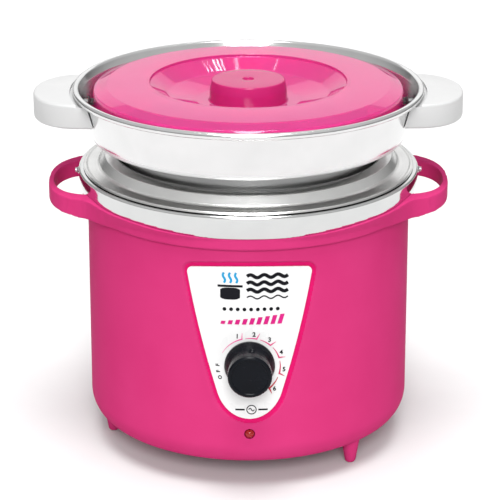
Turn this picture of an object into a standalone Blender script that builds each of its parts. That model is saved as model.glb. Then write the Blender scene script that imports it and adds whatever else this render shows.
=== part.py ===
"""Electric wax warmer pot: a plastic housing with a heated aluminium well, a lift-out wax pan and a clear lid.

Sizes are in millimetres and are turned into metres as each mesh is made. Heights run up from the foot tips,
radii run out from the pot axis, and bearings are in degrees from the front (-Y), positive towards +X.
"""
import math

import bmesh
import bpy
from mathutils import Vector

MM = 0.001
GAP = 0.3                     # clearance between pieces that touch
RING = 36                     # sides of the large turned pieces
SMALL = 10                    # sides of screws, feet and other small turned pieces
SHARP = math.radians(38)      # edges sharper than this stay sharp under smooth shading

# Housing, a nearly straight tube with a rounded foot edge and an inward lip
BODY_TOP_R = 88.8
BODY_LOW_R = 89.2
BODY_WALL = 2.5
BODY_TOP_Z = 154.8
BODY_BASE_Z = 13.2
BASE_EDGE_R = 83.0
BASE_EDGE_Z = 22.0
LIP_R = 60.0
LIP_THICK = 2.5

# Handle ring with its two loops
RING_IN_R = 89.3
RING_OUT_R = 91.5
RING_BASE_Z = 136.4
RING_TOP_Z = 143.1
LOOP_CENTRE_X = 85.0          # each loop is a squared half oval about this line
LOOP_REACH = 25.0
LOOP_HALF_WIDTH = 40.0
LOOP_HOLE_REACH = 22.3
LOOP_HOLE_HALF_WIDTH = 31.0
LOOP_SQUARENESS = 2.3
LOOP_LOW_Z = 139.0
LOOP_TOP_Z = 148.0
COLLAR_CLEARANCE_R = 93.9     # the loops stay outside this radius above the ring

# Collar
COLLAR_BASE_Z = 143.7
COLLAR_TOP_Z = 156.0
COLLAR_THICK = 0.8
COLLAR_IN_R = 80.0
COLLAR_SCREW_Z = 151.9
COLLAR_HOLE_RADIUS = 1.6

# Heated well
WELL_FLOOR_Z = 94.0
WELL_WALL = 1.2
WELL_LOW_R = 70.0
WELL_TOP_R = 72.6
FLANGE_R = 90.8

# Wax pan and its handles
PAN_FLOOR_Z = 95.8
PAN_WALL = 1.0
PAN_STEP_Z = 173.4
BEAD_R = 94.0
BEAD_Z = 199.3
BEAD_RADIUS = 1.85
HANDLE_CENTRE_X = 89.6
HANDLE_REACH = 27.5
HANDLE_HALF_WIDTH = 32.0
HANDLE_SQUARENESS = 2.2
HANDLE_LOW_Z = 184.5
HANDLE_TOP_Z = 198.0
HANDLE_NOTCH_R = 97.4         # the handle's top stands back from the bead to this radius
HANDLE_SCREW_X = 87.4         # underside of the screw heads, inside the pan
HANDLE_SCREW_Z = 191.0

# Lid
LID_TOP_Z = 201.9
LID_DISH_Z = 193.4
LID_KNOB_Z = 203.8
LID_SKIRT_Z = 174.8
LID_THICK = 1.7

# Control panel
PANEL_TOP_Z = 127.5
PANEL_LOW_Z = 40.7
PANEL_JOIN_Z = 56.3           # the sloping sides run into the oval lower end here
PANEL_OVAL_Z = 63.0
PANEL_OVAL_HALF = 18.27
PANEL_HALF_JOIN = 17.4
PANEL_HALF_TOP = 34.2
PANEL_BOW = 0.28
PANEL_CORNER = 4.5
PANEL_BORDER = 2.8
RECESS_R = 87.8
PANEL_BACK_R = 88.1
PANEL_FRONT_R = 88.7

# Thermostat and its control knob
DIAL_Z = 72.7
KNOB_BACK_R = 89.2
KNOB_FRONT_R = 107.0
SKIRT_RADIUS = 13.4
CAP_RADIUS = 11.6
SHAFT_RADIUS = 3.0
BUSHING_RADIUS = 4.5
STAT_FRONT_R = 84.0
STAT_BACK_R = 64.0
STAT_WIDTH = 28.0
STAT_HEIGHT = 22.0
POINTER_BEARING = 6.0         # where the knob's notch points at rest, clockwise from straight up

# Pilot lamp and cord gland
LAMP_Z = 32.5
LAMP_RADIUS = 2.5
GLAND_Z = 34.0
GLAND_END_R = 99.0
GLAND_HOLE_RADIUS = 5.2

# Feet and base
FOOT_R = 77.6
FOOT_BEARINGS = (46.0, 162.0, -82.0)
FOOT_TIP_RADIUS = 2.8
FOOT_TOP_RADIUS = 4.8
FOOT_BORE = 1.8
PLATE_R = 72.0
PLATE_Z = 16.0
PLATE_THICK = 1.2
PLATE_SCREW_R = 66.0
PLATE_HOLE_RADIUS = 1.8
VENT_RINGS = ((27, 6), (45, 12))    # radius and number of the vent holes in each ring
VENT_RADIUS = 3.0
PLATE_SCREW_BEARINGS = (0.0, 120.0, -120.0)

# Heater stack under the well
ELEMENT_Z = 88.7
ELEMENT_TOP_Z = 93.7
ELEMENT_IN_R = 30.0
ELEMENT_OUT_R = 60.0
CLAMP_Z = 87.2
CLAMP_THICK = 1.2
SHIELD_Z = 86.1
SHIELD_THICK = 0.8
SHIELD_R = 76.0
SHIELD_TOP_Z = 150.0
PIN_X = 22.5
PIN_Y = 39.0
PIN_RADIUS = 1.6
LEAD_GAP = 1.0                # from the end of a lead to the terminal that it is joined to
ROD_RADIUS = 2.0

# The pot axis stands behind the middle of the footprint, because the knob reaches further out than the gland
AXIS_Y = (KNOB_FRONT_R - GLAND_END_R) / 2


# ---------------------------------------------------------------- helpers

def clear_scene():
    for old in list(bpy.data.objects):
        bpy.data.objects.remove(old, do_unlink=True)


def material(name, colour, roughness, metallic=0.0, alpha=1.0):
    made = bpy.data.materials.new(name)
    made.use_nodes = True
    shader = made.node_tree.nodes["Principled BSDF"]
    shader.inputs["Base Color"].default_value = (*colour, 1.0)
    shader.inputs["Roughness"].default_value = roughness
    shader.inputs["Metallic"].default_value = metallic
    shader.inputs["Alpha"].default_value = alpha
    made.diffuse_color = (*colour, alpha)
    return made


def empty(name, place, parent=None):
    made = bpy.data.objects.new(name, None)
    bpy.context.scene.collection.objects.link(made)
    made.location = Vector(place) * MM
    made.parent = parent
    return made


def add(name, points, faces, finish, parent, place=(0, 0, 0), turn=(0, 0, 0)):
    """An object from points in millimetres, standing at place and turned by degrees about X, Y and Z."""
    mesh = bpy.data.meshes.new(name)
    mesh.from_pydata([Vector(p) * MM for p in points], [], faces)
    shaper = bmesh.new()
    shaper.from_mesh(mesh)
    bmesh.ops.recalc_face_normals(shaper, faces=shaper.faces)
    shaper.to_mesh(mesh)
    shaper.free()
    mesh.materials.append(finish)
    mesh.shade_smooth()
    mesh.set_sharp_from_angle(angle=SHARP)
    made = bpy.data.objects.new(name, mesh)
    bpy.context.scene.collection.objects.link(made)
    made.location = Vector(place) * MM
    made.rotation_euler = [math.radians(angle) for angle in turn]
    made.parent = parent
    return made


def turned(name, profile, finish, parent, sides=RING, place=(0, 0, 0), turn=(0, 0, 0)):
    """A closed outline of (radius, height) points turned about its Z axis. Radius 0 makes one pole point."""
    points, rows, faces = [], [], []
    for radius, height in profile:
        if radius < 1e-6:
            rows.append([len(points)] * sides)
            points.append((0, 0, height))
            continue
        rows.append(range(len(points), len(points) + sides))
        for step in range(sides):
            angle = 2 * math.pi * step / sides
            points.append((radius * math.cos(angle), radius * math.sin(angle), height))
    for row, after in zip(rows, rows[1:] + rows[:1]):
        for step in range(sides):
            follow = (step + 1) % sides
            corners = (row[step], row[follow], after[follow], after[step])
            ring = list(dict.fromkeys(corners))
            if len(ring) > 2:
                faces.append(ring)
    return add(name, points, faces, finish, parent, place, turn)


def prism(name, outline, low, high, finish, parent, place=(0, 0, 0), turn=(0, 0, 0)):
    """An outline of (x, y) points pulled straight up from low to high."""
    count = len(outline)
    points = [(x, y, low) for x, y in outline] + [(x, y, high) for x, y in outline]
    faces = [list(range(count))[::-1], list(range(count, 2 * count))]
    for step in range(count):
        follow = (step + 1) % count
        faces.append((step, follow, count + follow, count + step))
    return add(name, points, faces, finish, parent, place, turn)


def hide(cutter):
    cutter.hide_render = True
    cutter.display_type = "WIRE"


def combine(target, other, operation):
    change = target.modifiers.new(other.name, "BOOLEAN")
    change.operation = operation
    change.solver = "EXACT"
    change.object = other
    hide(other)


def drill(target, holes, parent, sides=8):
    """Cuts straight round holes, each given as (start, end, radius)."""
    points, faces = [], []
    for start, end, radius in holes:
        start, end = Vector(start), Vector(end)
        facing = (end - start).to_track_quat("Z", "Y").to_matrix()
        first = len(points)
        for base in (start, end):
            for step in range(sides):
                angle = 2 * math.pi * (step + 0.5) / sides
                points.append(base + facing @ Vector((radius * math.cos(angle), radius * math.sin(angle), 0)))
        faces.append(list(range(first, first + sides))[::-1])
        faces.append(list(range(first + sides, first + 2 * sides)))
        for step in range(sides):
            follow = (step + 1) % sides
            faces.append((first + step, first + follow, first + sides + follow, first + sides + step))
    cutter = add(target.name + "_holes", points, faces, target.data.materials[0], parent)
    combine(target, cutter, "DIFFERENCE")


def around(radius, bearing, height=0.0):
    """The point at a radius and a bearing from the front."""
    angle = math.radians(bearing)
    return (radius * math.sin(angle), -radius * math.cos(angle), height)


def arc(centre, radius, start, end, steps):
    """Points on an arc in the (radius, height) plane, from start to end degrees."""
    angles = [math.radians(start + (end - start) * step / steps) for step in range(steps + 1)]
    return [(centre[0] + radius * math.cos(a), centre[1] + radius * math.sin(a)) for a in angles]


def screw(name, head, shank, length, finish, parent, place, turn=(0, 0, 0), slotted=True):
    """A screw with its shank along -Z, the underside of its domed head at its origin."""
    dome = [(head, 0), (head, 0.3 * head), (0.72 * head, 0.6 * head), (0, 0.66 * head)]
    profile = [(0, -length), (shank, -length + shank), (shank, 0)] + dome
    made = turned(name, profile, finish, parent, 8, place, turn)
    if slotted:
        slot = box_points(1.5 * head, 0.22 * head, 0.5 * head, (0, 0, 0.7 * head))
        combine(made, add(name + "_slot", *slot, finish, parent, place, turn), "DIFFERENCE")


def hex_nut(name, flats, hole, thick, finish, parent, place, turn=(0, 0, 0)):
    """A six-sided nut standing up from its origin."""
    corner = flats / 2 / math.cos(math.pi / 6)
    outline = [(corner * math.cos(math.pi * k / 3), corner * math.sin(math.pi * k / 3)) for k in range(6)]
    count = 12
    ring = []
    for step in range(count):
        k, half = divmod(step, 2)
        here, after = Vector(outline[k]), Vector(outline[(k + 1) % 6])
        ring.append(here.lerp(after, 0.5 * half))
    points, faces = [], []
    for height in (0, thick):
        points += [(p.x, p.y, height) for p in ring]
        points += [(*(p.normalized() * hole), height) for p in ring]
    for step in range(count):
        follow = (step + 1) % count
        for first, second in ((0, 1), (1, 3), (3, 2), (2, 0)):
            low, high = first * count, second * count
            faces.append((low + step, low + follow, high + follow, high + step))
    return add(name, points, faces, finish, parent, place, turn)


def box_points(width, depth, height, centre):
    """Points and faces of a box, in millimetres."""
    sides = [(x, y, z) for x in (-1, 1) for y in (-1, 1) for z in (-1, 1)]
    points = [(centre[0] + x * width / 2, centre[1] + y * depth / 2, centre[2] + z * height / 2)
              for x, y, z in sides]
    faces = [(0, 1, 3, 2), (4, 6, 7, 5), (0, 4, 5, 1), (2, 3, 7, 6), (0, 2, 6, 4), (1, 5, 7, 3)]
    return points, faces


def soften(target, width):
    edge = target.modifiers.new("edge", "BEVEL")
    edge.width = width * MM
    edge.segments = 1
    edge.limit_method = "ANGLE"
    edge.angle_limit = SHARP


def wire(name, route, radius, finish, parent, steps=11):
    """A lead along a smooth curve through a few points."""
    path = bpy.data.curves.new(name, "CURVE")
    path.dimensions = "3D"
    path.bevel_depth = radius * MM
    path.bevel_resolution = 1
    path.use_fill_caps = True
    spline = path.splines.new("POLY")
    spline.points.add(steps)
    for step, spot in enumerate(spline.points):
        spot.co = (*(smooth_point(route, step / steps) * MM), 1)
    path.materials.append(finish)
    made = bpy.data.objects.new(name, path)
    bpy.context.scene.collection.objects.link(made)
    made.parent = parent
    return made


def smooth_point(route, share):
    """The point at a share of the way along a Catmull-Rom curve through the route."""
    spots = [Vector(p) for p in route]
    spots = [2 * spots[0] - spots[1]] + spots + [2 * spots[-1] - spots[-2]]
    place = share * (len(route) - 1)
    first = min(int(place), len(route) - 2)
    t = place - first
    a, b, c, d = spots[first:first + 4]
    return 0.5 * (2 * b + (c - a) * t + (2 * a - 5 * b + 4 * c - d) * t ** 2 + (3 * b - a - 3 * c + d) * t ** 3)


# ---------------------------------------------------------------- control panel outline

def panel_half_width(height):
    """Half the plate's width at a height: slightly bowed sides that run into an oval lower end."""
    if height < PANEL_JOIN_Z:
        share = (PANEL_OVAL_Z - height) / (PANEL_OVAL_Z - PANEL_LOW_Z)
        return PANEL_OVAL_HALF * math.sqrt(max(0, 1 - share ** 2))
    share = (height - PANEL_JOIN_Z) / (PANEL_TOP_Z - PANEL_JOIN_Z)
    return PANEL_HALF_JOIN + (PANEL_HALF_TOP - PANEL_HALF_JOIN) * share * (1 + PANEL_BOW * (1 - share))


def panel_patch(name, grow, inner, outer, finish, parent, columns=6):
    """The plate's outline, grown all round and wrapped on the housing as a solid from one radius to another."""
    corner = PANEL_CORNER + grow
    low_end = [PANEL_OVAL_Z - (PANEL_OVAL_Z - PANEL_LOW_Z) * math.cos(math.radians(a)) for a in (12, 26, 42, 58)]
    sides = [PANEL_JOIN_Z + (PANEL_TOP_Z - PANEL_JOIN_Z) * share for share in (0.12, 0.4, 0.7)]
    top_end = [PANEL_TOP_Z - PANEL_CORNER * (1 - math.cos(math.radians(a))) for a in (90, 60, 30, 0)]
    points, faces = [], []
    heights = low_end + sides + top_end
    for radius in (inner, outer):
        for height in heights:
            share = (height - PANEL_OVAL_Z) / (PANEL_OVAL_Z - PANEL_LOW_Z)
            along = min(max(share, -1), 0)
            half = panel_half_width(height) + grow * math.sqrt(1 - along ** 2)
            drop = PANEL_TOP_Z - height
            if drop < PANEL_CORNER:
                curve = 1 - drop / PANEL_CORNER
                half -= corner * (1 - math.sqrt(max(0, 1 - curve ** 2)))
            lift = grow * along if along else grow * max(0, 1 - drop / PANEL_CORNER)
            for column in range(columns + 1):
                bearing = math.degrees(half * (2 * column / columns - 1) / outer)
                points.append(around(radius, bearing, height + lift))
    stride = columns + 1
    rows = len(heights) - 1
    back = (rows + 1) * stride
    for row in range(rows):
        for column in range(columns):
            a = row * stride + column
            faces.append((a, a + 1, a + stride + 1, a + stride))
            faces.append((back + a, back + a + stride, back + a + stride + 1, back + a + 1))
    edge = [(0, column) for column in range(columns)]
    edge += [(row, columns) for row in range(rows)]
    edge += [(rows, column) for column in range(columns, 0, -1)]
    edge += [(row, 0) for row in range(rows, 0, -1)]
    for here, after in zip(edge, edge[1:] + edge[:1]):
        a = here[0] * stride + here[1]
        b = after[0] * stride + after[1]
        faces.append((a, b, back + b, back + a))
    return add(name, points, faces, finish, parent)


# ---------------------------------------------------------------- housing and base

def make_housing(finish, axis):
    edge_out = BODY_LOW_R - BASE_EDGE_R
    edge_up = BASE_EDGE_Z - BODY_BASE_Z
    outer = [(BODY_TOP_R, BODY_TOP_Z), (BODY_TOP_R, RING_BASE_Z)]
    inner = []
    for step in range(5):
        angle = math.radians(90 * step / 4)
        outer.append((BASE_EDGE_R + edge_out * math.cos(angle), BASE_EDGE_Z - edge_up * math.sin(angle)))
        inner.append((BASE_EDGE_R + (edge_out - BODY_WALL) * math.cos(angle),
                      BASE_EDGE_Z - (edge_up - LIP_THICK) * math.sin(angle)))
    lip = [(LIP_R, BODY_BASE_Z), (LIP_R, BODY_BASE_Z + LIP_THICK)]
    profile = outer + lip + inner[::-1] + [(BODY_TOP_R - BODY_WALL, BODY_TOP_Z)]
    housing = turned("housing", profile, finish, axis)
    recess = panel_patch("panel_recess", PANEL_BORDER, RECESS_R, BODY_LOW_R + 3, finish, axis)
    combine(housing, recess, "DIFFERENCE")
    holes = [(around(80, 0, DIAL_Z), around(95, 0, DIAL_Z), BUSHING_RADIUS + 0.4),
             (around(80, 0, LAMP_Z), around(95, 0, LAMP_Z), LAMP_RADIUS + GAP),
             (around(80, 180, GLAND_Z), around(95, 180, GLAND_Z), GLAND_HOLE_RADIUS),
             (around(80, 90, COLLAR_SCREW_Z), around(95, 90, COLLAR_SCREW_Z), COLLAR_HOLE_RADIUS),
             (around(80, -90, COLLAR_SCREW_Z), around(95, -90, COLLAR_SCREW_Z), COLLAR_HOLE_RADIUS)]
    for bearing in FOOT_BEARINGS:
        holes.append((around(FOOT_R, bearing, 10), around(FOOT_R, bearing, 20), FOOT_BORE))
    for bearing in PLATE_SCREW_BEARINGS:
        holes.append((around(PLATE_SCREW_R, bearing, 10), around(PLATE_SCREW_R, bearing, 20), PLATE_HOLE_RADIUS))
    drill(housing, holes, axis)


def make_feet(finish, steel, axis):
    top = BODY_BASE_Z - GAP
    profile = [(0, 0), (FOOT_TIP_RADIUS - 0.5, 0), (FOOT_TIP_RADIUS, 0.6), (FOOT_TOP_RADIUS, top),
               (FOOT_BORE, top), (FOOT_BORE, 3), (0, 3)]
    for number, bearing in enumerate(FOOT_BEARINGS, 1):
        turned(f"foot_{number}", profile, finish, axis, SMALL, around(FOOT_R, bearing))
        place = around(FOOT_R, bearing, BODY_BASE_Z + LIP_THICK + GAP)
        screw(f"foot_screw_{number}", 2.8, 1.5, 11.5, steel, axis, place, slotted=False)


def make_base(steel, axis):
    profile = [(ROD_RADIUS + 0.5, PLATE_Z), (PLATE_R, PLATE_Z), (PLATE_R, PLATE_Z + PLATE_THICK),
               (ROD_RADIUS + 0.5, PLATE_Z + PLATE_THICK)]
    plate = turned("base_plate", profile, steel, axis, 36)
    holes = [(around(PLATE_SCREW_R, bearing, 10), around(PLATE_SCREW_R, bearing, 22), PLATE_HOLE_RADIUS)
             for bearing in PLATE_SCREW_BEARINGS]
    for radius, count in VENT_RINGS:
        for step in range(count):
            bearing = 360 * (step + 0.5) / count
            holes.append((around(radius, bearing, 10), around(radius, bearing, 22), VENT_RADIUS))
    drill(plate, holes, axis, 8)
    for number, bearing in enumerate(PLATE_SCREW_BEARINGS, 1):
        place = around(PLATE_SCREW_R, bearing, BODY_BASE_Z - GAP)
        screw(f"base_screw_{number}", 3.0, 1.5, 8.5, steel, axis, place, (180, 0, 0))


# ---------------------------------------------------------------- handle ring and collar

def oval(centre, reach, half_width, squareness, start, end, steps):
    """Points on a squared oval, from start to end degrees off its long way out along +X."""
    power = 2 / squareness
    points = []
    for step in range(steps + 1):
        angle = math.radians(start + (end - start) * step / steps)
        across = math.copysign(abs(math.sin(angle)) ** power, math.sin(angle))
        points.append((centre + reach * abs(math.cos(angle)) ** power, half_width * across))
    return points


def make_loop(ring, name, side, finish, axis):
    """A level strap handle, joined to the ring by a flared root at each end."""
    outer = oval(LOOP_CENTRE_X, LOOP_REACH, LOOP_HALF_WIDTH, LOOP_SQUARENESS, -76, 76, 18)
    flare = [(84.0, 41.6), (81.0, 44.6), (78.4, 47.6), (76.0, 47.6)]
    outline = [(x, -y) for x, y in flare[::-1]] + outer + flare
    if side < 0:
        outline = [(-x, y) for x, y in outline[::-1]]
    strap = prism("loop_" + name, outline, LOOP_LOW_Z, LOOP_TOP_Z, finish, axis)
    hole = oval(LOOP_CENTRE_X, LOOP_HOLE_REACH, LOOP_HOLE_HALF_WIDTH, LOOP_SQUARENESS, -90, 90, 14)
    hole = [(side * x, y) for x, y in [(70, -LOOP_HOLE_HALF_WIDTH)] + hole + [(70, LOOP_HOLE_HALF_WIDTH)]]
    combine(strap, prism("loop_hole_" + name, hole, LOOP_LOW_Z - 2, LOOP_TOP_Z + 2, finish, axis), "DIFFERENCE")
    inside = RING_IN_R + 0.8
    clear = [(0, LOOP_LOW_Z - 1), (inside, LOOP_LOW_Z - 1), (inside, RING_TOP_Z - 0.5),
             (COLLAR_CLEARANCE_R, RING_TOP_Z - 0.5), (COLLAR_CLEARANCE_R, LOOP_TOP_Z + 1), (0, LOOP_TOP_Z + 1)]
    combine(strap, turned("loop_clearance_" + name, clear, finish, axis, 60), "DIFFERENCE")
    combine(ring, strap, "UNION")


def make_handle_ring(finish, axis):
    profile = [(RING_IN_R, RING_BASE_Z), (RING_OUT_R - 0.6, RING_BASE_Z), (RING_OUT_R, RING_BASE_Z + 0.8),
               (RING_OUT_R, RING_TOP_Z), (RING_IN_R, RING_TOP_Z)]
    ring = turned("handle_ring", profile, finish, axis, 60)
    for name, side in (("left", -1), ("right", 1)):
        make_loop(ring, name, side, finish, axis)


def make_collar(chrome, steel, axis):
    t = COLLAR_THICK
    outer = [(91.9, COLLAR_BASE_Z), (93.1, 146.8), (93.4, 149.8), (93.3, 154.4), (92.9, 155.6),
             (91.9, COLLAR_TOP_Z), (COLLAR_IN_R, COLLAR_TOP_Z)]
    inner = [(COLLAR_IN_R, COLLAR_TOP_Z - t), (91.6, COLLAR_TOP_Z - t), (92.5, 154.2), (92.6, 149.8), (92.3, 147.0),
             (91.1, COLLAR_BASE_Z)]
    collar = turned("collar", outer + inner, chrome, axis)
    holes = [(around(88, side, COLLAR_SCREW_Z), around(98, side, COLLAR_SCREW_Z), COLLAR_HOLE_RADIUS)
             for side in (90, -90)]
    drill(collar, holes, axis)
    for name, side in (("right", 1), ("left", -1)):
        place = (side * (93.2 + GAP), 0, COLLAR_SCREW_Z)
        screw("collar_screw_" + name, 2.1, 1.25, 9.0, steel, axis, place, (0, side * 90, 0))


# ---------------------------------------------------------------- heated well and heater

def make_well(aluminium, axis):
    floor_top = WELL_FLOOR_Z + WELL_WALL
    inner = [(0, floor_top), (WELL_LOW_R - 5, floor_top)]
    inner += arc((WELL_LOW_R - 5, floor_top + 5), 5, -45, 0, 1)
    inner += [(WELL_TOP_R, 162.8)]
    top = [(73.4, 164.2), (74.6, 164.5), (79.0, 162.8), (80.9, 160.4), (81.8, 158.8), (83.2, 157.6),
           (88.3, 157.1), (89.3, 157.8), (FLANGE_R - 0.4, 157.4), (FLANGE_R, 156.4)]
    under = [(86.4, 156.4), (81.4, 156.9), (77.9, 161.6), (75.6, 162.7), (WELL_TOP_R + WELL_WALL, 162.4)]
    outer = arc((WELL_LOW_R - 5, WELL_FLOOR_Z + 6.2), 6.2, 0, -90, 2) + [(0, WELL_FLOOR_Z)]
    turned("heated_well", inner + top + under + outer, aluminium, axis)


def make_heater(finishes, axis):
    element = [(ELEMENT_IN_R, ELEMENT_Z), (ELEMENT_OUT_R, ELEMENT_Z), (ELEMENT_OUT_R, ELEMENT_TOP_Z),
               (ELEMENT_IN_R, ELEMENT_TOP_Z)]
    turned("heating_element", element, finishes["mica"], axis, 36)
    bore = ROD_RADIUS + 0.5
    clamp_top = CLAMP_Z + CLAMP_THICK
    clamp = [(bore, CLAMP_Z), (62, CLAMP_Z), (62, clamp_top), (bore, clamp_top)]
    plate = turned("heater_clamp_plate", clamp, finishes["steel"], axis, 36)
    t = SHIELD_THICK
    shield = [(bore, SHIELD_Z), (SHIELD_R - 2, SHIELD_Z), (SHIELD_R + t, SHIELD_Z + 2.8),
              (SHIELD_R + t, SHIELD_TOP_Z - t), (84, SHIELD_TOP_Z - t), (84, SHIELD_TOP_Z),
              (SHIELD_R, SHIELD_TOP_Z), (SHIELD_R, SHIELD_Z + 3), (SHIELD_R - 2.2, SHIELD_Z + t),
              (bore, SHIELD_Z + t)]
    cup = turned("heat_shield", shield, finishes["steel"], axis, 36)
    pins = [((side * PIN_X, PIN_Y, 80), (side * PIN_X, PIN_Y, 88.6), 3.0) for side in (-1, 1)]
    drill(plate, pins, axis)
    drill(cup, pins, axis)
    for name, side in (("left", -1), ("right", 1)):
        pin = [(0, -10), (PIN_RADIUS, -10), (PIN_RADIUS, 0), (0, 0)]
        turned("heater_terminal_" + name, pin, finishes["brass"], axis, 10,
               (side * PIN_X, PIN_Y, ELEMENT_Z - GAP))


def make_tie_rod(steel, axis):
    top = WELL_FLOOR_Z - GAP
    rod = [(0, 8.5), (ROD_RADIUS - 0.5, 8.5), (ROD_RADIUS, 9.2), (ROD_RADIUS, top), (0, top)]
    turned("tie_rod", rod, steel, axis, 12)
    nut_hole = ROD_RADIUS + GAP
    hex_nut("tie_rod_upper_nut", 8, nut_hole, 3.2, steel, axis, (0, 0, SHIELD_Z - GAP - 3.2))
    washer_low = PLATE_Z - GAP - 1
    washer = [(nut_hole, washer_low), (8, washer_low), (8, washer_low + 1), (nut_hole, washer_low + 1)]
    turned("tie_rod_washer", washer, steel, axis, SMALL)
    hex_nut("tie_rod_lower_nut", 8, nut_hole, 3.2, steel, axis, (0, 0, washer_low - GAP - 3.2))


# ---------------------------------------------------------------- wax pan and lid

def pan_outer_wall():
    return [(85.7, 174.2), (86.9, 178.0), (88.9, 186.0), (91.6, 196.6)]


def make_pan(aluminium, lift):
    t = PAN_WALL
    outer = [(0, PAN_FLOOR_Z), (63.0, PAN_FLOOR_Z), (67.4, 100.2), (71.2, 160.0), (71.4, PAN_STEP_Z),
             (84.9, PAN_STEP_Z)] + pan_outer_wall()
    bead = arc((BEAD_R, BEAD_Z), BEAD_RADIUS, -110, 160, 7)
    inner = [(90.6, 196.6), (87.9, 186.0), (85.9, 178.0), (84.4, PAN_STEP_Z + t), (70.4, PAN_STEP_Z + t),
             (70.2, 160.0), (66.4, 100.6), (62.6, PAN_FLOOR_Z + t), (0, PAN_FLOOR_Z + t)]
    pan = turned("wax_pan", outer + bead + inner, aluminium, lift)
    drill(pan, [((side * 80, 0, HANDLE_SCREW_Z), (side * 96, 0, HANDLE_SCREW_Z), 2.1) for side in (-1, 1)], lift)


def make_pan_handles(white, steel, lift):
    wall = [(r + GAP + 0.15, z) for r, z in pan_outer_wall()[1:]]
    notch = [(HANDLE_NOTCH_R, wall[-1][1]), (HANDLE_NOTCH_R, 202), (0, 202)]
    keep_clear = [(0, wall[0][1])] + wall + notch
    curve = oval(HANDLE_CENTRE_X, HANDLE_REACH, HANDLE_HALF_WIDTH, HANDLE_SQUARENESS, -90, 90, 16)
    curve += [(76, HANDLE_HALF_WIDTH), (76, -HANDLE_HALF_WIDTH)]
    for name, side in (("left", -1), ("right", 1)):
        outline = [(side * x, y) for x, y in curve]
        handle = prism("pan_handle_" + name, outline, HANDLE_LOW_Z, HANDLE_TOP_Z, white, lift)
        soften(handle, 1.2)
        combine(handle, turned("handle_clearance_" + name, keep_clear, white, lift), "DIFFERENCE")
        drill(handle, [((side * 80, 0, HANDLE_SCREW_Z), (side * 103, 0, HANDLE_SCREW_Z), 2.1)], lift)
        place = (side * HANDLE_SCREW_X, 0, HANDLE_SCREW_Z)
        screw("handle_screw_" + name, 3.0, 1.7, 14, steel, lift, place, (0, -side * 90, 0))


def make_lid(clear_pink, lift):
    top = [(0, 202.6), (2.5, 202.6), (2.7, LID_KNOB_Z), (19.4, LID_KNOB_Z), (20.4, 202.9),
           (21.0, LID_DISH_Z), (41.4, LID_DISH_Z), (53.4, LID_TOP_Z),
           (81.8, LID_TOP_Z), (83.9, 200.9), (84.6, 198.9), (84.1, LID_SKIRT_Z)]
    t = LID_THICK
    under = [(84.1 - t, LID_SKIRT_Z), (84.5 - t, 198.6), (81.2, LID_TOP_Z - t), (54.7, LID_TOP_Z - t),
             (42.0, LID_DISH_Z - t), (19.6, LID_DISH_Z - t), (18.7, 201.6), (0, 200.9)]
    turned("lid", top + under, clear_pink, lift)


# ---------------------------------------------------------------- controls

def make_panel(white, axis):
    plate = panel_patch("control_plate", 0, PANEL_BACK_R, PANEL_FRONT_R, white, axis)
    drill(plate, [(around(80, 0, DIAL_Z), around(95, 0, DIAL_Z), BUSHING_RADIUS + 0.4)], axis)


def make_thermostat(finishes, axis):
    depth = STAT_FRONT_R - STAT_BACK_R
    middle = (0, -(STAT_FRONT_R + STAT_BACK_R) / 2, DIAL_Z)
    body = add("thermostat_body", *box_points(STAT_WIDTH, depth, STAT_HEIGHT, middle), finishes["ceramic"], axis)
    soften(body, 1)
    tube = [(0, STAT_FRONT_R - 2), (BUSHING_RADIUS, STAT_FRONT_R - 2), (BUSHING_RADIUS, 92), (0, 92)]
    bushing = turned("bushing", tube, finishes["ceramic"], axis, SMALL, (0, 0, DIAL_Z), (90, 0, 0))
    combine(body, bushing, "UNION")
    drill(body, [(around(78, 0, DIAL_Z), around(95, 0, DIAL_Z), SHAFT_RADIUS + 0.4)], axis)
    nut_place = around(PANEL_FRONT_R + GAP, 0, DIAL_Z)
    hex_nut("thermostat_nut", 14, BUSHING_RADIUS + GAP, 2.2, finishes["steel"], axis, nut_place, (90, 0, 0))


def make_knob(black, brass, dial):
    """The knob stands on the dial axis, its own Z pointing out of the panel."""
    long = KNOB_FRONT_R - KNOB_BACK_R
    cavity, bore = 10.4, SHAFT_RADIUS + GAP
    profile = [(cavity, 0), (SKIRT_RADIUS, 0), (SKIRT_RADIUS, 2.2), (12.6, 4.0), (10.9, 7.0), (10.5, 9.6),
               (11.0, 11.4), (CAP_RADIUS, 12.4), (CAP_RADIUS, long - 0.9), (CAP_RADIUS - 0.8, long),
               (9.6, long), (9.2, long - 0.5), (0, long - 0.5), (0, 14.6), (bore, 14.6), (bore, 6.2), (cavity, 6.2)]
    knob = turned("control_knob", profile, black, dial, 28)
    angle = math.radians(90 - POINTER_BEARING)
    mark = (12.4 * math.cos(angle), 12.4 * math.sin(angle), 3.6)
    notch = add("pointer_notch", *box_points(4.4, 1.3, 2.6, (0, 0, 0)), black, dial, mark,
                (0, 0, 90 - POINTER_BEARING))
    combine(knob, notch, "DIFFERENCE")
    start, end = 78.5 - KNOB_BACK_R, 14.3
    shaft = [(0, start), (SHAFT_RADIUS, start), (SHAFT_RADIUS, end), (0, end)]
    turned("thermostat_shaft", shaft, brass, dial, SMALL)


def make_pilot_lamp(red, ceramic, axis):
    inside = BODY_LOW_R - BODY_WALL - 0.5 - GAP
    lens = [(0, inside - 1), (4, inside - 1), (4, inside), (LAMP_RADIUS, inside), (LAMP_RADIUS, 89.0),
            (2.1, 89.9), (1.2, 90.4), (0, 90.6)]
    turned("pilot_lens", lens, red, axis, SMALL, (0, 0, LAMP_Z), (90, 0, 0))
    back, front = 68, inside - 1 - GAP
    holder = [(0, back), (3.2, back), (4, back + 2), (4, front), (0, front)]
    turned("pilot_lamp_holder", holder, ceramic, axis, SMALL, (0, 0, LAMP_Z), (90, 0, 0))


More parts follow.
